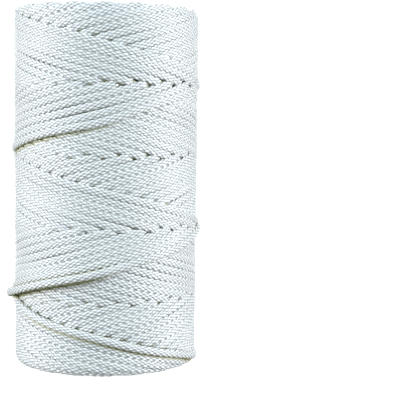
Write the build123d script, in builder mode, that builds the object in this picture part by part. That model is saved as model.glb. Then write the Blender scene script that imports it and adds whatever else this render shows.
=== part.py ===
from build123d import *
from math import atan2, cos, degrees, pi, radians, sin
import os

# String reel: a flangeless upright package of braided string, cross-wound on a short paper tube.
# Millimetres. +Z runs up the tube's axis, the origin is the centre of the tube's lower end,
# and the plain side of the winding faces -Y. The string's two ends lie at the back, towards +Y.

# Driving dimensions
string_diameter = 2.0  # braided nylon, slightly flattened where the strands cross
winding_radius = 25.7  # out to the crowns of the outer strands
winding_height = 98.0
shoulder_radius = 2.6  # the soft edge at each end of the winding
bore_radius = 9.5  # a 3/4 inch bore
ply_thickness = 0.5
ply_names = ("inner", "middle", "outer")
core_reveal = 1.0  # how far the tube stands out of the winding at each end
inner_layers = 3  # double layers under the one that shows
turns_per_traverse = 2.5  # from one end of the winding to the other

# Worked out from them
core_radius = bore_radius + len(ply_names) * ply_thickness
core_height = winding_height + 2 * core_reveal
winding_bottom = core_reveal
winding_top = core_reveal + winding_height
layer_thickness = (winding_radius - core_radius) / (inner_layers + 1)
string_radius = string_diameter / 2
lead = (winding_height - string_diameter) / turns_per_traverse
lead_angle = degrees(atan2(lead, 2 * pi * winding_radius))

# The inner end: a short tail along the tube, sunk in the upper end face of the first layer.
inner_end_turn = 70  # degrees around the tube
inner_end_gap = 0.1  # between the tail and the tube
inner_end_sink = 0.2  # the tail's middle lies this far below the end face
inner_end_place = core_radius + string_radius + inner_end_gap
inner_end_height = winding_top - inner_end_sink

# The outer end: a tail pressed into the outer layer at the back, standing a little proud. The
# last pass climbs this many turns from the lower edge before the tail starts.
last_pass_turns = 1.24
outer_end_length = 18.0
outer_end_proud = 0.6
outer_end_place = winding_radius + outer_end_proud - string_radius
outer_end_height = winding_bottom + string_radius + last_pass_turns * lead
outer_end_turn = degrees(outer_end_length / outer_end_place)

os.makedirs("parts", exist_ok=True)


def write(piece, name):
    """Labels a finished piece and writes it as parts/NAME.step."""
    piece.part.label = name
    export_step(piece.part, f"parts/{name}.step")


def ring(inner, outer, bottom, top, edge=0.0):
    """A ring about the Z axis, with its outer edges rounded by edge."""
    with BuildPart() as made:
        with BuildSketch(Plane.XY.offset(bottom)):
            Circle(outer)
            Circle(inner, mode=Mode.SUBTRACT)
        extrude(amount=top - bottom)
        if edge:
            rims = made.edges().filter_by(GeomType.CIRCLE).group_by(SortBy.RADIUS)[-1]
            fillet(rims, edge)
    return made


# The spiral-wound tube, one ring per glued paper ply
for number, ply in enumerate(ply_names):
    inside = bore_radius + number * ply_thickness
    write(ring(inside, inside + ply_thickness, 0, core_height), f"core_{ply}_ply")

# The inner end, an arc of string about the tube's axis and centred on +Y
with BuildPart() as string_inner_end:
    start = Plane.XZ.rotated((0, 0, 90 - inner_end_turn / 2))
    with BuildSketch(start):
        with Locations((inner_end_place, inner_end_height)):
            Circle(string_radius)
    revolve(axis=Axis.Z, revolution_arc=inner_end_turn)
write(string_inner_end, "string_inner_end")

# The outer end, an arc about an axis that is tipped so that the tail climbs at the lead angle
tipped = Plane(
    origin=(0, 0, outer_end_height),
    x_dir=(0, 1, 0),
    z_dir=(sin(radians(lead_angle)), 0, cos(radians(lead_angle))),
)
with BuildPart() as string_outer_end:
    with BuildSketch(Plane(tipped.origin, x_dir=tipped.x_dir, z_dir=-tipped.y_dir)):
        with Locations((outer_end_place, 0)):
            Circle(string_radius)
    revolve(axis=Axis(tipped.origin, tipped.z_dir), revolution_arc=outer_end_turn)
write(string_outer_end, "string_outer_end")

# The wound string, one ring per double layer: a pass up and a pass down at every place
for number in range(inner_layers):
    inside = core_radius + number * layer_thickness
    layer = ring(inside, inside + layer_thickness, winding_bottom, winding_top)
    if number == 0:
        with layer:
            add(string_inner_end.part, mode=Mode.SUBTRACT)
    write(layer, f"string_layer_{number + 1}")

inside = winding_radius - layer_thickness
outer_layer = ring(inside, winding_radius, winding_bottom, winding_top, shoulder_radius)
with outer_layer:
    add(string_outer_end.part, mode=Mode.SUBTRACT)
write(outer_layer, "string_outer_layer")

# The string's length, from the turns that the winding holds
passes = round(lead / string_diameter)
wound = 0.0
for number in range(inner_layers + 1):
    middle = core_radius + (number + 0.5) * layer_thickness
    turn_length = ((2 * pi * middle) ** 2 + lead**2) ** 0.5
    wound += 2 * passes * turns_per_traverse * turn_length
print(f"lead {lead:.1f} mm, {passes} passes each way in a layer, {wound / 1000:.1f} m of string")
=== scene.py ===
# %% [markdown]
# # A reel of braided string
#
# The real object is two things: a short paper tube, and one long braided string that a machine has
# wound on it from edge to edge. There are no flanges. The string holds itself, because each pass
# crosses the one before, over and under, like the weave of a basket.
#
# The measured parts come from the CAD frame and stay where they are. This script adds what CAD
# leaves plain: the string itself, stitch by stitch, and the finishes.

import bpy
import numpy as np
from mathutils import Matrix, Vector


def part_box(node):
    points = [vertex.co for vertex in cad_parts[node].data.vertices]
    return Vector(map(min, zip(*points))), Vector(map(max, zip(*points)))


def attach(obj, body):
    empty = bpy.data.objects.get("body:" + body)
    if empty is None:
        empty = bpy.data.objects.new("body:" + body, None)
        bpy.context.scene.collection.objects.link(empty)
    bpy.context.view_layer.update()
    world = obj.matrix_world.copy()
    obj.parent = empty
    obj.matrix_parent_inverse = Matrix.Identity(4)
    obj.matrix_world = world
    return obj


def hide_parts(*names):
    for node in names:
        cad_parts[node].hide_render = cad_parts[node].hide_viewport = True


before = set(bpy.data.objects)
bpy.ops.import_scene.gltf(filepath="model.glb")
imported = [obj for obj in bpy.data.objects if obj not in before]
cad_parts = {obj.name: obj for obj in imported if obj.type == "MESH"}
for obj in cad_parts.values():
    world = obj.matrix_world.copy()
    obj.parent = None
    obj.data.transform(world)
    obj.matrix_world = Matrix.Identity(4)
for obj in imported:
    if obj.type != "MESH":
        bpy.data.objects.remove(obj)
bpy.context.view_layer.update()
print("nodes:", ", ".join(sorted(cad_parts)))

# %% [markdown]
# Every size comes from the frame, in metres, so the string fits the tube that it is wound on. The
# outer layer's box gives the winding, and the thickness of the string's inner end is its diameter.

# %% Sizes
MM = 0.001


def corners(node):
    """The lowest and the highest corner of a CAD node, as arrays."""
    low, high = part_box(node)
    return np.array(low), np.array(high)


low, high = corners("string_outer_layer")
winding_radius = high[0]
winding_bottom, winding_top = low[2], high[2]
inner_radii = [corners(f"string_layer_{number}")[1][0] for number in (1, 2, 3)]
core_low, core_high = corners("core_outer_ply")
core_radius = core_high[0]
low, high = corners("string_inner_end")
string_diameter = high[2] - low[2]
inner_end_height = (low[2] + high[2]) / 2
winding_height = winding_top - winding_bottom
print(f"winding {2e3 * winding_radius:.1f} x {1e3 * winding_height:.1f} mm")
print(f"string {1e3 * string_diameter:.1f} mm thick")

# %% [markdown]
# ## How the string runs
#
# While the tube turns, a guide carries the string up and down. It makes a little over two and a half
# turns from one edge to the other, so a full trip up and down is 5 + 1/19 turns. That small
# remainder sets each trip one string's width beside the last, and after 19 trips the surface is
# closed. A place on the string is given here by one number, its turn, counted from the newest point
# where the string turned back at the upper edge. Every other number follows from it.
#
# The newer of two crossing strands lies on top. With this remainder that makes bands: just under
# the upper edge all strands on top climb, half a turn lower they all fall, and at each change there
# is a row of small dark holes.

# %% The path's rules
STRANDS = 19
TRIP = 5 + 1 / STRANDS  # turns up and down again
TOP_BEND, FOOT_BEND = 0.02, 0.09  # turns that the string takes to change direction at each edge
NEWEST_TOP = np.radians(-95.0)  # where the newest upper turning point lies, from the front
STRING_END = 3 + (180 - np.degrees(NEWEST_TOP)) / 360  # the turn where the tail begins
one_way = TRIP / 2 - TOP_BEND / 2 - FOOT_BEND / 2
lead = (winding_height - string_diameter) / one_way


def ease(value):
    """A smooth step: 0 below 0, 1 above 1, and 3t^2 - 2t^3 between."""
    t = np.clip(value, 0.0, 1.0)
    return t * t * (3 - 2 * t)


def dive(value):
    """A smooth step that starts late, so that a strand stays up until the next one covers it."""
    return ease((value - 0.2) / 0.8)


def rise(value):
    """The same step, run the other way: it is over early."""
    return ease(value / 0.8)


def turns_below_top(turn):
    """How far below the upper edge, in turns of lead: the distance to the nearest whole trip, with
    each turning point rounded into a parabola."""
    away = np.abs(turn - TRIP * np.round(turn / TRIP))

    def rounded(d, bend):
        return np.where(d < bend, (d * d + bend**2) / (2 * bend), d) - bend / 2

    return np.where(away < TRIP / 4, rounded(away, TOP_BEND), one_way - rounded(TRIP / 2 - away, FOOT_BEND))


def weave(turn):
    """The string's place in the weave at each turn: its age in trips, whether it climbs, how many
    half turns it is below the upper edge, its level (+1 over, -1 under) and the age of what it
    crosses. The level changes by smooth steps at the crossings where the newer strand changes."""
    trip = np.round(turn / TRIP)
    age = -trip
    climbs = turn < TRIP * trip
    halves = 2 * np.abs(turn - TRIP * trip)
    crossing = (halves - np.floor(halves)) * STRANDS
    dives = dive(crossing - (STRANDS - age - 1))
    rises = rise(crossing - age)
    climbing_level = np.where(halves < 1 / STRANDS, 1, 2 * rise(crossing) - 1) - 2 * dives
    falling_level = np.where(halves > 5, 1, 1 - 2 * dive(crossing) + 2 * rises)
    climbing_over = age + crossing - STRANDS * dives
    falling_over = age - crossing + STRANDS * rises
    level = np.where(age < 0, 1, np.where(climbs, climbing_level, falling_level))
    crossed_age = np.where(age < 0, 0, np.where(climbs, climbing_over, falling_over))
    return age, climbs, halves, level, np.clip(crossed_age, 0, STRANDS)


print(f"lead {1e3 * lead:.1f} mm a turn, a trip is {TRIP:.3f} turns")

# %% [markdown]
# The weave gives the string's distance from the axis. A strand on top touches the winding's outer
# surface, and one below is a little under a string's thickness lower. The winding is also a kind of
# scroll, so it is slightly lower on the old side of the newest strand. Nothing presses the last trip
# down, so it stands proud, and its neighbours have slipped a little way down the front with it.
# Small smooth wanders keep the rows from looking machine-drawn.

# %% The string's centre line
HALF_WIDTH = 1.2 * string_diameter / 2
HALF_HEIGHT = 0.9 * string_diameter / 2
STEP = 0.68 * string_diameter  # between the two levels, on the side where the weave is open
CLOSE_STEP = 0.42 * string_diameter  # the same on the other side, where the strands press together
SCROLL = 0.25 * MM  # how much lower the oldest strands of the layer lie
PLUMP = 0.15 * MM  # how far the layer stands out beyond the CAD ring
SHOULDER = 2.6 * MM
SHARED_WANDER, OWN_WANDER, RADIAL_WANDER = 0.25 * MM, 0.035 * MM, 0.05 * MM
SLIP = 1.5 * MM  # how far the newest climbing strand has slipped down the front
# How far the last strands stand proud: the newest climbing one on the left, the newest falling one
# near the foot, and the last pass of all, with a hump where it crosses the strand before it.
CLIMB_PROUD, FALL_PROUD, LAST_PROUD, HUMP = 0.75 * MM, 0.7 * MM, 0.95 * MM, 0.45 * MM
SETTLED_AT = np.radians(40)  # here, from the front, the last pass has sunk in again
EDGE_ZONE = 6 * MM  # the wanders fade out this close to an end of the winding


def wander(places, spacing, seed):
    """Smooth noise along a line: random values at even knots, joined by smooth steps."""
    knots = np.random.default_rng(seed).uniform(-1, 1, 4096)
    position = np.asarray(places) / spacing
    whole = np.floor(position).astype(int)
    return knots[whole % 4096] + (knots[(whole + 1) % 4096] - knots[whole % 4096]) * ease(position - whole)


def fading(age, trips):
    """A share that is 1 on the newest strands and dies away with their age in trips."""
    return np.exp(-np.clip(age, 0, None) / trips)


def shoulder_drop(height):
    """How far the rounded edge lies inside the full radius: b - sqrt(b^2 - (b - d)^2), where d is
    the distance to the nearer end of the winding and b is the shoulder's radius."""
    distance = np.minimum(winding_top - height, height - winding_bottom)
    inside = np.clip(SHOULDER - distance, 0, SHOULDER)
    return SHOULDER - np.sqrt(SHOULDER**2 - inside**2)


def path_height(turn):
    """The height of the string's centre, before it wanders."""
    return winding_top - string_diameter / 2 - lead * turns_below_top(turn)


def shared_wander(angle, height):
    """A sway of the rows that neighbours share: two slow waves of the angle and the height."""
    down = height / winding_height
    return SHARED_WANDER / 2 * (np.sin(2 * angle + 61 * down) + np.sin(3 * angle - 38 * down))


def slip(age, climbs, halves, angle):
    """How far the newest climbing strands hang lower at mid height: a straight ramp from the left
    to the middle of the front and a smooth return, less and less for older strands."""
    degrees = np.degrees(np.arctan2(np.sin(angle), np.cos(angle)))
    front = np.clip((degrees + 90) / 90, 0, 1) * ease((45 - degrees) / 55)
    this_pass = climbs & (age >= 0) & (halves < 2.2)
    return SLIP * this_pass * front * ease((halves - 0.3) / 0.4) * fading(age, 6)


def proudness(age, climbs, halves, angle):
    """How far the newest strands stand above the surface. Each term is a height times smooth steps
    of the half turns since the upper edge, which say where it begins and ends; the hump is a
    Gaussian at the crossing just past four half turns."""
    on_left = ease((0.3 - np.sin(angle)) / 0.9)
    newest = fading(age, 0.7) * np.where(climbs, CLIMB_PROUD * on_left, 0.05 * MM)
    last_fall = FALL_PROUD * ease((halves - 3.8) / 0.25) * ((age == 0) & ~climbs)
    settled = ease((np.cos(angle - SETTLED_AT) - 0.72) / 0.2) * ((halves > 3) & (halves < 5))
    over_it = HUMP * np.exp(-(((halves - 4 - 1 / STRANDS) / 0.09) ** 2))
    last_climb = (LAST_PROUD + over_it) * (age < 0) * ease((TRIP - halves) / 0.2)
    return newest + last_fall + last_climb * (1 - 0.9 * settled)


def centre_line(turn, outside, seed=0):
    """Points of the string's centre for a layer that reaches out to the radius outside. Angle is 2
    pi times turn, height falls with turns_below_top, and the radius comes from the weave."""
    age, climbs, halves, level, crossed_age = weave(turn)
    height = path_height(turn)
    angle = NEWEST_TOP + 2 * np.pi * turn
    own = wander(turn, 0.13, seed + 1) + wander(turn, 0.7, seed + 2)
    own = OWN_WANDER * own * (1 + fading(age, 2))
    free = ease((winding_top - height) / EDGE_ZONE) * ease((height - winding_bottom) / EDGE_ZONE)
    height = height + free * (shared_wander(angle, height) + own)
    openness = ease(0.5 + 0.8 * np.sin(angle))
    step = CLOSE_STEP + (STEP - CLOSE_STEP) * openness
    radius = outside - HALF_HEIGHT - (1 - level) * step / 2
    radius = radius - SCROLL * (age + crossed_age) / STRANDS
    radius = radius + RADIAL_WANDER * wander(turn, 0.11, seed + 3)
    if outside == winding_radius:
        height = height - slip(age, climbs, halves, angle)
        radius = radius + PLUMP + proudness(age, climbs, halves, angle) - shoulder_drop(height)
    return np.stack([radius * np.sin(angle), -radius * np.cos(angle), height], axis=1)


sample = centre_line(np.linspace(-(STRANDS - 0.5) * TRIP, STRING_END, 200_000), winding_radius)
layer_length = np.linalg.norm(np.diff(sample, axis=0), axis=1).sum()
print(f"{layer_length:.2f} m of string in the layer that shows")

# %% [markdown]
# ## The braid
#
# The string is a tube braided from twelve bundles of filament, six each way, each over one and under
# the next. Where a bundle is on top it makes a small slanting pillow, high in the middle, rounded
# across its threads and tucked under its neighbours at both ends. The pillows form diamonds, and from
# any side about four columns of them show.
#
# A bump in the material alone would look flat along the outline, so the pillows are in the mesh.
# Points lie a quarter of a stitch apart along the string and half a column apart around it. On that
# grid every valley between pillows runs exactly along the diagonals, so each small square is split
# along its own diagonal, and few points are enough.

# %% The pattern of pillows
STITCH = 0.96 * string_diameter
RINGS_PER_STITCH = 4
COLUMNS = 12
RELIEF = 0.15 * string_diameter
# Places around the string in columns, from its inner side: fine on the side that shows, coarse on
# the side that lies on the layer below.
PLACES = np.concatenate([[0, 1.5], np.arange(2.5, 9.6, 0.5), [10.5]])
SQUARENESS = 4  # the power of the section's curve: 2 is an ellipse, more is squarer
PROUD_LOSS = 1.6  # how much of that a strand that stands proud loses, as nothing squeezes it


def pillows(stitches, columns):
    """The height of the braid, 0 in the valleys and 1 on the pillows. With p = stitches - columns/2
    and q = stitches + columns/2, a bundle one way fills the band between two whole numbers of p, and
    a bundle the other way a band of q. The first is on top where floor(p) + floor(q) is even. The
    height is the sine across the top bundle times a flatter sine along it."""
    p, q = stitches - columns / 2, stitches + columns / 2
    first_on_top = np.mod(np.floor(p + 1e-6) + np.floor(q + 1e-6), 2) == 0
    p, q = np.abs(np.sin(np.pi * p)), np.abs(np.sin(np.pi * q))
    return np.where(first_on_top, p**0.9 * q**0.45, q**0.9 * p**0.45)


print(f"stitches of {1e3 * STITCH:.2f} mm, {len(PLACES)} points in each ring")

# %% [markdown]
# The string is a swept tube: a ring of points for every quarter stitch, joined to the next ring by
# triangles and closed at both ends. Each point also stores how deep it lies in the winding, so that
# deep places can be painted a darker, greenish shade: light reaches them only by way of other
# strands, and takes on their colour.

# %% Building the meshes


def make_object(name, points, triangles, uv, attributes, material):
    """Puts arrays of points, triangles, one UV pair for each corner and one value for each point
    into a mesh object, shaded smooth."""
    mesh = bpy.data.meshes.new(name)
    mesh.vertices.add(len(points))
    mesh.vertices.foreach_set("co", points.astype(np.float32).ravel())
    mesh.loops.add(3 * len(triangles))
    mesh.loops.foreach_set("vertex_index", triangles.astype(np.int32).ravel())
    mesh.polygons.add(len(triangles))
    mesh.polygons.foreach_set("loop_start", 3 * np.arange(len(triangles), dtype=np.int32))
    mesh.polygons.foreach_set("use_smooth", np.ones(len(triangles), bool))
    mesh.uv_layers.new(name="UVMap").data.foreach_set("uv", uv.astype(np.float32).ravel())
    for key, values in attributes.items():
        layer = mesh.attributes.new(key, "FLOAT", "POINT")
        layer.data.foreach_set("value", values.astype(np.float32).ravel())
    mesh.update(calc_edges=True)
    mesh.materials.append(material)
    made = bpy.data.objects.new(name, mesh)
    bpy.context.scene.collection.objects.link(made)
    return made


def grid_triangles(rows, columns, u, v, v_after):
    """The triangles of a grid whose columns close into a ring, with their corner UVs. Squares are
    split along alternate diagonals, like a checkerboard, where row + column is even or odd."""
    row, column = np.meshgrid(np.arange(rows - 1), np.arange(columns), indexing="ij")
    following = (column + 1) % columns
    corner_rows = np.stack([row, row, row + 1, row + 1], axis=-1)
    index = corner_rows * columns + np.stack([column, following, following, column], axis=-1)
    near, far = v[column], v_after[column]
    place = np.stack([u[corner_rows], np.stack([near, far, far, near], axis=-1)], axis=-1)
    even = (row + column) % 2 == 0
    order = np.where(even[..., None], [0, 1, 2, 0, 2, 3], [0, 1, 3, 1, 2, 3])
    triangles = np.take_along_axis(index, order, -1).reshape(-1, 3)
    return triangles, np.take_along_axis(place, order[..., None], -2).reshape(-1, 2)


def braided_tube(centres, first_ring=0, twist_seed=11, swell=None, fray=None):
    """A closed tube of stitches along the points centres, one ring for each. The section is the
    curve |x/width|^n + |y/height|^n = 1 in the plane of the outward direction N and the side
    direction B = T x N, drawn inwards by the valleys between the pillows. The power n is less where
    the strand stands proud. The tube slowly rolls about itself, as wound string does. It returns
    points, triangles, corner UVs (stitches along, columns around), how far each point belongs to
    the melted tip, and its ring's crown radius."""
    count, sides = len(centres), len(PLACES)
    rings = np.arange(count) + first_ring
    tangent = np.gradient(centres, axis=0)
    tangent /= np.linalg.norm(tangent, axis=1, keepdims=True)
    outward = centres * [1, 1, 0]
    outward /= np.linalg.norm(outward, axis=1, keepdims=True)
    outward -= tangent * np.sum(outward * tangent, axis=1, keepdims=True)
    outward /= np.linalg.norm(outward, axis=1, keepdims=True)
    side = np.cross(tangent, outward)
    angle = np.pi + (PLACES[None, :] + 0.5 * wander(rings, 70, twist_seed)[:, None]) * 2 * np.pi / COLUMNS
    swell = np.ones(count) if swell is None else swell
    fray = np.ones(count) if fray is None else fray
    pillow = pillows(rings[:, None] / RINGS_PER_STITCH, PLACES[None, :])
    inset = RELIEF * (1 - pillow) * fray[:, None]
    up, across = np.cos(angle), np.sin(angle)
    crown = np.hypot(centres[:, 0], centres[:, 1]) + HALF_HEIGHT
    power = SQUARENESS - PROUD_LOSS * ease((crown[:, None] - winding_radius - PLUMP) / FALL_PROUD)
    reach = (np.abs(up / HALF_HEIGHT) ** power + np.abs(across / HALF_WIDTH) ** power) ** (-1 / power)
    reach = (reach * swell[:, None] - inset)[..., None]
    direction = outward[:, None, :] * up[..., None] + side[:, None, :] * across[..., None]
    points = centres[:, None, :] + reach * direction
    ends = np.stack([points[0].mean(axis=0), points[-1].mean(axis=0)])
    u = rings / RINGS_PER_STITCH
    triangles, uv = grid_triangles(count, sides, u, PLACES, np.append(PLACES[1:], COLUMNS))
    here = np.arange(sides)
    there = (here + 1) % sides
    last, middle = (count - 1) * sides, count * sides
    start_cap = np.stack([np.full(sides, middle), there, here], axis=-1)
    end_cap = np.stack([np.full(sides, middle + 1), last + here, last + there], axis=-1)
    cap_uv = np.zeros((2 * sides * 3, 2)) + [u[0], 2.0]
    melted = np.concatenate([np.repeat(1 - fray, sides), 1 - fray[[0, -1]]])
    crown = np.concatenate([np.repeat(crown, sides), crown[[0, -1]]])
    points = np.concatenate([points.reshape(-1, 3), ends])
    triangles = np.concatenate([triangles, start_cap, end_cap])
    return points, triangles, np.concatenate([uv, cap_uv]), melted, crown


# The strands with a hollow beside them: the last pass, the fall before it and the climb before that.
# Each has its whole turns, the first and last angle from the front in degrees, and the strength of
# the painted shade in its hollow under it and above it.
PROUD_STRANDS = ((3, -100, 12, 1.0, 0.45), (2, -75, 110, 1.0, 0.0), (-1, -100, 20, 0.7, 0.0))


def hollows(points):
    """The painted shade in the hollows under the three proud strands, where light only arrives by way of
    other strands: near 1 there and 0 elsewhere, from Gaussians of the height below and above each
    strand's path. Only the last pass has a hollow above it too, and it is shallower."""
    angle = np.arctan2(points[:, 0], -points[:, 1])
    total = np.zeros(len(points))
    for whole, first, last, under, above in PROUD_STRANDS:
        turn = whole + (angle - NEWEST_TOP) / (2 * np.pi)
        height = path_height(turn) - slip(0, turn < 0, 2 * np.abs(turn), angle)
        up = (points[:, 2] - height - shared_wander(angle, height)) / MM
        here = ease((np.degrees(angle) - first) / 25) * ease((last - np.degrees(angle)) / 25)
        total += here * under * np.exp(-(((up + 1.4) / 0.6) ** 2))
        total += here * above * np.exp(-(((up - 1.2) / 0.4) ** 2))
    return total


def depth_below(points, crown):
    """How deep each point lies in the winding, in millimetres: the distance to the outer surface, or
    to the crown of its own strand where that stands out further, or a third of the distance to the
    nearer end face, whichever is less."""
    to_surface = np.maximum(winding_radius, crown) - np.hypot(points[:, 0], points[:, 1])
    to_end = np.minimum(winding_top - points[:, 2], points[:, 2] - winding_bottom)
    return np.minimum(to_surface, to_end / 3) / MM


def join(parts):
    """Joins several closed shells into one set of arrays."""
    starts = np.cumsum([0, *(len(points) for points, *_ in parts)])
    points, triangles, uv, melted, crown = zip(*parts, strict=True)
    triangles = [part + start for part, start in zip(triangles, starts[:-1], strict=True)]
    return tuple(np.concatenate(arrays) for arrays in (points, triangles, uv, melted, crown))


print(f"hollows beside {len(PROUD_STRANDS)} proud strands")

# %% [markdown]
# ## Finishes
#
# Two patterns are node groups. Braid keeps the string's pattern apart from its colours: it reads the
# string's own UV map, whose first number counts stitches along and whose second counts columns
# around, and works out the same pillows as the mesh. Fibres gives the cloudy, matted look that all
# three papers share.

# %% Node groups


def new_group(name, inputs, outputs):
    """An empty shader group with float or vector inputs and outputs, and its end nodes."""
    tree = bpy.data.node_groups.new(name, "ShaderNodeTree")
    for label, kind, value in inputs:
        socket = tree.interface.new_socket(label, in_out="INPUT", socket_type=kind)
        socket.default_value = value
    for label, kind in outputs:
        tree.interface.new_socket(label, in_out="OUTPUT", socket_type=kind)
    return tree, tree.nodes.new("NodeGroupInput"), tree.nodes.new("NodeGroupOutput")


def add_node(tree, kind, links=None, **settings):
    """Adds a node, sets its properties, and links or sets its inputs by name or number."""
    node = tree.nodes.new(kind)
    for key, value in settings.items():
        setattr(node, key, value)
    for key, value in (links or {}).items():
        if isinstance(value, bpy.types.NodeSocket):
            tree.links.new(value, node.inputs[key])
        else:
            node.inputs[key].default_value = value
    return node


def maths(tree, operation, first, second=0.0, clamp=False):
    """One Math node's result."""
    settings = {"operation": operation, "use_clamp": clamp}
    return add_node(tree, "ShaderNodeMath", {0: first, 1: second}, **settings).outputs[0]


def noise(tree, place, scale, detail):
    """One Noise Texture's value."""
    inputs = {"Vector": place, "Scale": scale, "Detail": detail}
    return add_node(tree, "ShaderNodeTexNoise", inputs).outputs[0]


def mix_values(tree, factor, first, second):
    """Mixes two numbers."""
    return add_node(tree, "ShaderNodeMix", {0: factor, 2: first, 3: second}).outputs[0]


def mix_colours(tree, factor, first, second):
    """Mixes two colours, each a socket or four numbers."""
    node = add_node(tree, "ShaderNodeMix", data_type="RGBA")
    for number, value in ((0, factor), (6, first), (7, second)):
        if isinstance(value, bpy.types.NodeSocket):
            tree.links.new(value, node.inputs[number])
        else:
            node.inputs[number].default_value = value
    return node.outputs[2]


def braid_group():
    """The same pattern as the mesh, drawn sharply: the pillows' height, fine threads that run along
    each pillow, and a slow change of tone from length to length of string."""
    tree, given, result = new_group(
        "braid",
        [("Threads", "NodeSocketFloat", 7.0), ("Patches", "NodeSocketFloat", 0.05)],
        [("Height", "NodeSocketFloat"), ("Threads", "NodeSocketFloat"), ("Tone", "NodeSocketFloat")],
    )
    uv = add_node(tree, "ShaderNodeUVMap", uv_map="UVMap").outputs[0]
    parts = add_node(tree, "ShaderNodeSeparateXYZ", {0: uv})
    half = maths(tree, "MULTIPLY", parts.outputs[1], 0.5)
    p = maths(tree, "SUBTRACT", parts.outputs[0], half)
    q = maths(tree, "ADD", parts.outputs[0], half)
    count = maths(tree, "ADD", maths(tree, "FLOOR", p), maths(tree, "FLOOR", q))
    second_on_top = maths(tree, "PINGPONG", count, 1.0)
    p_sine = maths(tree, "ABSOLUTE", maths(tree, "SINE", maths(tree, "MULTIPLY", p, np.pi)))
    q_sine = maths(tree, "ABSOLUTE", maths(tree, "SINE", maths(tree, "MULTIPLY", q, np.pi)))
    across = mix_values(tree, second_on_top, p_sine, q_sine)
    along = mix_values(tree, second_on_top, q_sine, p_sine)
    height = maths(tree, "MULTIPLY", maths(tree, "POWER", across, 0.9), maths(tree, "POWER", along, 0.45))
    thread_at = maths(tree, "MULTIPLY", mix_values(tree, second_on_top, p, q), given.outputs["Threads"])
    run_at = mix_values(tree, second_on_top, q, p)
    streak_at = add_node(tree, "ShaderNodeCombineXYZ", {0: thread_at, 1: run_at, 2: count})
    streaks = noise(tree, streak_at.outputs[0], 1.0, 1.0)
    slow = maths(tree, "MULTIPLY", parts.outputs[0], given.outputs["Patches"])
    patch_at = add_node(tree, "ShaderNodeCombineXYZ", {0: slow, 1: 3.7})
    patches = noise(tree, patch_at.outputs[0], 1.0, 2.0)
    tree.links.new(height, result.inputs["Height"])
    tree.links.new(streaks, result.inputs["Threads"])
    tree.links.new(patches, result.inputs["Tone"])
    return tree


def fibres_group():
    """Matted paper fibres on Object coordinates: a fine noise stretched round the tube and a broad
    cloudy one, and the same two as a height."""
    tree, given, result = new_group(
        "fibres",
        [("Scale", "NodeSocketFloat", 900.0)],
        [("Height", "NodeSocketFloat"), ("Cloud", "NodeSocketFloat")],
    )
    place = add_node(tree, "ShaderNodeTexCoord").outputs["Object"]
    stretched = add_node(tree, "ShaderNodeMapping", {"Vector": place, "Scale": (1.0, 1.0, 3.5)}).outputs[0]
    fine = noise(tree, stretched, given.outputs["Scale"], 4.0)
    cloud = noise(tree, place, 160.0, 3.0)
    tree.links.new(fine, result.inputs["Height"])
    tree.links.new(cloud, result.inputs["Cloud"])
    return tree


BRAID, FIBRES = braid_group(), fibres_group()
print("groups:", BRAID.name, FIBRES.name)

# %% [markdown]
# The string is bleached white nylon with glossy filaments. Its colour also holds painted shade: the
# valleys between the bundles are painted darker, and deep places a warm, greenish grey that stands in
# for light that has bounced several times between strands. The painted valley shade comes from the
# braid pattern. Two values stored with each point say how deep it lies and whether it belongs to the
# melted tip, so the painted deep shade and the tip's colour follow the shape.

# %% The string's finish
WHITE = (0.82, 0.83, 0.82, 1)
COOL = (0.78, 0.81, 0.84, 1)  # some lengths of string are slightly bluer
# Painted shade for the valleys between the bundles; the thread streaks darken towards it too.
VALLEY_SHADE_AND_THREADS = (0.17, 0.185, 0.19, 1)
# Painted shade for deep places and the hollows beside proud strands, tinted by light bounced between strands.
DEEP_SHADE = (0.36, 0.35, 0.17, 1)
MELTED = (0.72, 0.69, 0.56, 1)


def new_material(name):
    """A material with only a Principled BSDF and its output, and its node tree."""
    made = bpy.data.materials.new(name)
    made.use_nodes = True
    return made, made.node_tree, made.node_tree.nodes["Principled BSDF"]


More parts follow.
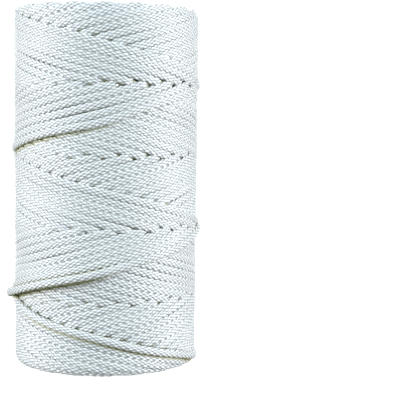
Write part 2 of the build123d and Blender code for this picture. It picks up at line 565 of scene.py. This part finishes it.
def string_material():
    """White braided nylon, with threads, painted shade in the valleys and the deep places, and a melted tip.
    """
    made, tree, shader = new_material("braided_nylon")
    braid = add_node(tree, "ShaderNodeGroup", node_tree=BRAID)
    depth = add_node(tree, "ShaderNodeAttribute", attribute_name="depth").outputs["Fac"]
    melted = add_node(tree, "ShaderNodeAttribute", attribute_name="melted").outputs["Fac"]
    braided = maths(tree, "SUBTRACT", 1.0, melted, clamp=True)
    # Painted shade: the valleys between the pillows are painted a darker grey, and the thread streaks darken
    # towards the same grey.
    valley = maths(tree, "POWER", maths(tree, "SUBTRACT", 1.0, braid.outputs["Height"], clamp=True), 2.0)
    streak = maths(tree, "MULTIPLY", maths(tree, "SUBTRACT", braid.outputs["Threads"], 0.5), 0.3)
    valley = maths(tree, "MULTIPLY", maths(tree, "ADD", valley, streak, clamp=True), braided)
    # Painted shade: deep places and the hollows beside proud strands are painted a warm, greenish grey for
    # light that reaches them only after bouncing between strands.
    deep = maths(tree, "MULTIPLY", maths(tree, "SUBTRACT", depth, 0.6), 1.5, clamp=True)
    colour = mix_colours(tree, valley, WHITE, VALLEY_SHADE_AND_THREADS)
    tone = maths(tree, "MULTIPLY", maths(tree, "SUBTRACT", braid.outputs["Tone"], 0.45), 0.5, clamp=True)
    colour = mix_colours(tree, tone, colour, COOL)
    colour = mix_colours(tree, deep, colour, DEEP_SHADE)
    colour = mix_colours(tree, melted, colour, MELTED)
    tree.links.new(colour, shader.inputs["Base Color"])
    rough = maths(tree, "ADD", maths(tree, "MULTIPLY", braid.outputs["Threads"], 0.2), 0.28)
    rough = maths(tree, "SUBTRACT", rough, maths(tree, "MULTIPLY", melted, 0.2))
    tree.links.new(rough, shader.inputs["Roughness"])
    threads = maths(tree, "MULTIPLY", braid.outputs["Threads"], 0.15)
    height = maths(tree, "MULTIPLY", maths(tree, "ADD", braid.outputs["Height"], threads), braided)
    bump = add_node(tree, "ShaderNodeBump", {"Strength": 0.8, "Distance": 0.15 * MM, "Height": height})
    tree.links.new(bump.outputs[0], shader.inputs["Normal"])
    shader.inputs["IOR"].default_value = 1.53
    shader.inputs["Specular IOR Level"].default_value = 1.0
    return made


STRING = string_material()
print("finish:", STRING.name)

# %% [markdown]
# ## The layer that shows
#
# The string of the outer layer is about fifteen metres long. It is cut into seven stretches at upper
# turning points, only to keep each mesh a handy size: the cuts are flat and meet face to face.

# %% Wind the outer layer
RING_SPACING = STITCH / RINGS_PER_STITCH
turn_length = np.hypot(2 * np.pi * (winding_radius - STEP), lead)


def braid_piece(name, parts, replaced):
    """Makes one piece from closed shells, rides it on the body and hides the CAD node that it replaces."""
    points, triangles, uv, melted, crown = join(parts)
    # The stored depth, with the hollows beside the proud strands added, sets where the finish paints a
    # greenish shade.
    values = {"melted": melted, "depth": depth_below(points, crown) + hollows(points)}
    piece = make_object(name, points, triangles, uv, values, STRING)
    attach(piece, "root")
    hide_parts(replaced)
    print(f"{name}: {len(triangles)} triangles")


def stretch(first_turn, last_turn, outside, seed=0):
    """The braided tube from one turn to another of a layer. Rings keep their number along the whole
    string, so that stitches carry on across a cut."""
    first_ring = int(round(first_turn * turn_length / RING_SPACING))
    last_ring = int(round(last_turn * turn_length / RING_SPACING))
    rings = np.arange(first_ring, last_ring + 1)
    return braided_tube(centre_line(rings * RING_SPACING / turn_length, outside, seed), first_ring)


LAYER_START = -(STRANDS - 0.5) * TRIP
cuts = [LAYER_START, *(-TRIP * trips for trips in (16, 13, 10, 7, 4, 1)), STRING_END]
for number, (first, last) in enumerate(zip(cuts[:-1], cuts[1:], strict=True)):
    parts = [stretch(first, last, winding_radius)]
    braid_piece(f"outer_turns_{number + 1}", parts, "string_outer_layer")

# %% [markdown]
# ## What lies under it
#
# Only the turning points of the inner layers can be seen, on the two end faces. Each is a short arc
# of the same string. Their bodies are plain closed rings with a ribbed skin, which can be glimpsed
# through the holes of the layer above.

# %% Inner layers
ARC = 0.12  # turns shown on each side of an inner layer's turning point
RIB = 0.35 * MM
SUNK = 1.8 * MM  # how far the plain rings stay below the arcs on the end faces


def ribbed_ring(inner, outer, bottom, top):
    """A closed ring whose outer skin has a rib for each strand. The ribs are a sine of height and
    angle, so that they climb like the string; the other three faces are plain."""
    around, up = 240, 120
    angle = np.linspace(0, 2 * np.pi, around, endpoint=False)
    heights = np.linspace(bottom, top, up)
    rows = np.concatenate([[bottom], heights, [top, bottom]])
    strands_up = rows[:, None] * STRANDS / lead - STRANDS * angle[None, :] / (2 * np.pi)
    radius = outer - RIB * (1 - np.abs(np.sin(np.pi * strands_up)))
    radius[[0, -2, -1]] = inner
    height = rows[:, None] * np.ones(around)
    points = np.stack([radius * np.sin(angle), -radius * np.cos(angle), height], axis=-1)
    turned = np.append(angle[1:], 2 * np.pi) * outer / STITCH
    triangles, uv = grid_triangles(up + 3, around, rows * 4 * STRANDS / lead, angle * outer / STITCH, turned)
    triangles = np.where(triangles >= (up + 2) * around, triangles - (up + 2) * around, triangles)
    none = np.zeros((up + 2) * around)
    return points[:-1].reshape(-1, 3), triangles, uv[:, ::-1], none, none


def turning_arcs(outside, seed):
    """The arcs around every turning point of a layer, at both edges."""
    upper = -TRIP * np.arange(STRANDS)
    return [stretch(turn - ARC, turn + ARC, outside, seed) for turn in (*upper, *(upper - TRIP / 2))]


inside = core_radius
for number, outside in enumerate(inner_radii):
    body = ribbed_ring(inside, outside - 0.1 * MM, winding_bottom + SUNK, winding_top - SUNK)
    node = f"string_layer_{number + 1}"
    parts = [body, *turning_arcs(outside, 40 * (number + 1))]
    braid_piece(f"inner_turns_{number + 1}", parts, node)
    inside = outside

# %% [markdown]
# ## The two ends
#
# The outer end is the last few centimetres. It is tucked under the strands that cross it, comes out
# again, and stops at a tip that was melted so that the braid can't come undone. The inner end, where
# winding began, lies beside the tube in the upper end face.

# %% String ends


def melted_tip(count, rings=7):
    """Swell and fray for a tube that ends in a melted bead: the stitches fade out over the last
    rings while the section swells a little and then closes in a quarter circle."""
    from_tip = np.arange(count)[::-1]
    fray = ease((from_tip - 1) / rings)
    bead = 1 + 0.12 * (1 - fray)
    close = np.sqrt(1 - (1 - np.clip(from_tip / 3, 0, 1)) ** 2)
    return bead * (0.25 + 0.75 * close), fray


TAIL_TURNS = 0.112
tail_turns = np.arange(STRING_END, STRING_END + TAIL_TURNS, RING_SPACING / turn_length)
tail = centre_line(tail_turns, winding_radius)
along = (tail_turns - STRING_END) / TAIL_TURNS
tuck = ease(along / 0.3) * (1 - ease((along - 0.55) / 0.25)) * 1.9 * MM
lift = ease((along - 0.7) / 0.3) * 0.3 * MM
outward = tail * [1, 1, 0] / np.hypot(tail[:, 0], tail[:, 1])[:, None]
tail = tail - outward * (tuck - lift)[:, None]
swell, fray = melted_tip(len(tail))
braid_piece("outer_end", [braided_tube(tail, swell=swell, fray=fray)], "string_outer_end")

EMERGES, TIP = 138, 216  # degrees round the tube from the front
ring_step = np.degrees(RING_SPACING / (core_radius + HALF_WIDTH))
start_angle = np.radians(np.arange(EMERGES, TIP, ring_step))
sink = 5 * MM * (1 - ease((np.degrees(start_angle) - EMERGES) / 34))
start_radius = core_radius + 1.08 * HALF_WIDTH
start = np.stack(
    [start_radius * np.sin(start_angle), -start_radius * np.cos(start_angle), inner_end_height - sink], axis=1
)
swell, fray = melted_tip(len(start))
braid_piece("inner_end", [braided_tube(start, swell=swell, fray=fray)], "string_inner_end")

# %% [markdown]
# ## The paper tube
#
# The tube is three strips of kraft paper, each wound in a spiral and glued to the last. The CAD
# rings already have its shape, so they only get a finish: matted fibres, and the thin dark line of
# the spiral seam, which a wave of the angle and the height draws.

# %% Paper finishes


def paper_material(name, light, dark, seam_pitch):
    """Kraft paper with fibres and a spiral seam. The seam is where the fraction of height / pitch +
    angle / 2 pi is near one half."""
    made, tree, shader = new_material(name)
    fibres = add_node(tree, "ShaderNodeGroup", {"Scale": 900.0}, node_tree=FIBRES)
    place = add_node(tree, "ShaderNodeTexCoord").outputs["Object"]
    parts = add_node(tree, "ShaderNodeSeparateXYZ", {0: place})
    angle = maths(tree, "ARCTAN2", parts.outputs[1], parts.outputs[0])
    turned = maths(tree, "MULTIPLY", angle, 1 / (2 * np.pi))
    climbed = maths(tree, "MULTIPLY", parts.outputs[2], 1 / seam_pitch)
    wrapped = maths(tree, "FRACT", maths(tree, "ADD", turned, climbed))
    near = maths(tree, "ABSOLUTE", maths(tree, "SUBTRACT", wrapped, 0.5))
    seam = maths(tree, "MULTIPLY", maths(tree, "SUBTRACT", 0.013, near), 120.0, clamp=True)
    cloud = maths(tree, "MULTIPLY", maths(tree, "SUBTRACT", fibres.outputs["Cloud"], 0.35), 2.2, clamp=True)
    colour = mix_colours(tree, cloud, dark, light)
    specks = maths(tree, "MULTIPLY", maths(tree, "SUBTRACT", fibres.outputs["Height"], 0.5), 0.9, clamp=True)
    colour = mix_colours(tree, specks, colour, tuple(0.6 * value for value in dark[:3]) + (1,))
    colour = mix_colours(tree, seam, colour, tuple(0.35 * value for value in dark[:3]) + (1,))
    tree.links.new(colour, shader.inputs["Base Color"])
    rough = maths(tree, "ADD", maths(tree, "MULTIPLY", fibres.outputs["Height"], 0.2), 0.75)
    tree.links.new(rough, shader.inputs["Roughness"])
    height = maths(tree, "SUBTRACT", fibres.outputs["Height"], seam)
    bump = add_node(tree, "ShaderNodeBump", {"Strength": 0.6, "Distance": 0.12 * MM, "Height": height})
    tree.links.new(bump.outputs[0], shader.inputs["Normal"])
    return made


KRAFT = ((0.47, 0.33, 0.2, 1), (0.36, 0.24, 0.14, 1))
LINER = ((0.56, 0.43, 0.29, 1), (0.46, 0.33, 0.21, 1))
PLIES = {
    "core_inner_ply": paper_material("kraft_liner", *LINER, 44 * MM),
    "core_middle_ply": paper_material("kraft_middle", *KRAFT, 47 * MM),
    "core_outer_ply": paper_material("kraft_outer", *LINER, 50 * MM),
}
for node, paper in PLIES.items():
    for material_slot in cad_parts[node].material_slots:
        material_slot.material = paper
print("paper:", ", ".join(PLIES))

# %% [markdown]
# ## Floor, light and camera
#
# The reel stands on a flat white floor. Two large soft lamps light it from the left and the right,
# so the sides are brighter than the middle. A dim, bluish one in front and above puts a shadow under
# each proud strand, and one behind keeps the back from going grey. The floor and the room glow where
# they are looked at directly, which keeps them white. Otherwise the floor has no glow of its own and
# the room gives only a faint fill.

# %% Stage


def area_light(name, place, target, size, power, colour):
    """A square soft lamp that points at a target."""
    lamp = bpy.data.lights.new(name, "AREA")
    lamp.size, lamp.energy, lamp.color = size, power, colour
    made = bpy.data.objects.new(name, lamp)
    made.location = place
    direction = np.array(target) - np.array(place)
    made.rotation_euler = Vector(direction).to_track_quat("-Z", "Y").to_euler()
    bpy.context.scene.collection.objects.link(made)


middle_height = (winding_bottom + winding_top) / 2
TARGET = (0, 0, middle_height)
area_light("left_lamp", (-0.83, -0.27, 0.36), TARGET, 0.42, 10.0, (0.975, 1.0, 1.03))
area_light("right_lamp", (0.81, -0.34, 0.36), TARGET, 0.42, 10.1, (0.975, 1.0, 1.03))
area_light("front_lamp", (-0.05, -0.55, 0.75), TARGET, 0.3, 2.0, (0.6, 0.98, 1.18))
area_light("back_lamp", (0.1, 0.9, 0.6), TARGET, 0.5, 5.0, (0.975, 1.0, 1.03))

world = bpy.data.worlds.new("room")
world.use_nodes = True
sky = world.node_tree.nodes["Background"]
sky.inputs["Color"].default_value = (0.95, 1.0, 1.02, 1)
seen = add_node(world.node_tree, "ShaderNodeLightPath").outputs["Is Camera Ray"]
brightness = maths(world.node_tree, "ADD", seen, 0.1)
world.node_tree.links.new(brightness, sky.inputs["Strength"])
bpy.context.scene.world = world

HALF_FLOOR = 3.0
floor_mesh = bpy.data.meshes.new("floor")
floor_corners = [(HALF_FLOOR * x, HALF_FLOOR * y, 0) for x, y in ((-1, -1), (1, -1), (1, 1), (-1, 1))]
floor_mesh.from_pydata(floor_corners, [], [(0, 1, 2, 3)])
floor = bpy.data.objects.new("floor", floor_mesh)
bpy.context.scene.collection.objects.link(floor)
paint, _, floor_shader = new_material("white_floor")
floor_shader.inputs["Base Color"].default_value = (0.42, 0.42, 0.4, 1)
floor_shader.inputs["Roughness"].default_value = 0.9
floor_shader.inputs["Emission Color"].default_value = (1, 1, 1, 1)
seen = add_node(paint.node_tree, "ShaderNodeLightPath").outputs["Is Camera Ray"]
paint.node_tree.links.new(seen, floor_shader.inputs["Emission Strength"])
floor_mesh.materials.append(paint)

# %% [markdown]
# The camera stands about twelve winding radii in front of the axis and seven tenths of the way up the
# winding, with a long lens. So the reel's sides stay nearly parallel, its upper edge bows up a little
# and its lower edge bows down. It is turned five degrees to the right, which puts the reel at the
# left of the view.

# %% Camera
CAMERA_DISTANCE = 11.9 * winding_radius
CAMERA_HEIGHT = winding_top - 1.12 * winding_radius
camera_data = bpy.data.cameras.new("camera")
camera_data.lens = 96.9
camera_data.clip_start = 0.01
camera = bpy.data.objects.new("camera", camera_data)
camera.rotation_mode = "XYZ"
camera.location = (0, -CAMERA_DISTANCE, CAMERA_HEIGHT)
yaw, pitch, roll = np.radians([-4.99, -4.53, 0.7])
turned = Matrix.Rotation(yaw, 4, "Z") @ Matrix.Rotation(np.pi / 2 + pitch, 4, "X")
camera.rotation_euler = (turned @ Matrix.Rotation(roll, 4, "Z")).to_euler()
bpy.context.scene.collection.objects.link(camera)
bpy.context.scene.camera = camera
bpy.context.scene.view_settings.view_transform = "Standard"
print(f"camera {CAMERA_DISTANCE:.2f} m in front of the axis and {CAMERA_HEIGHT:.3f} m up")
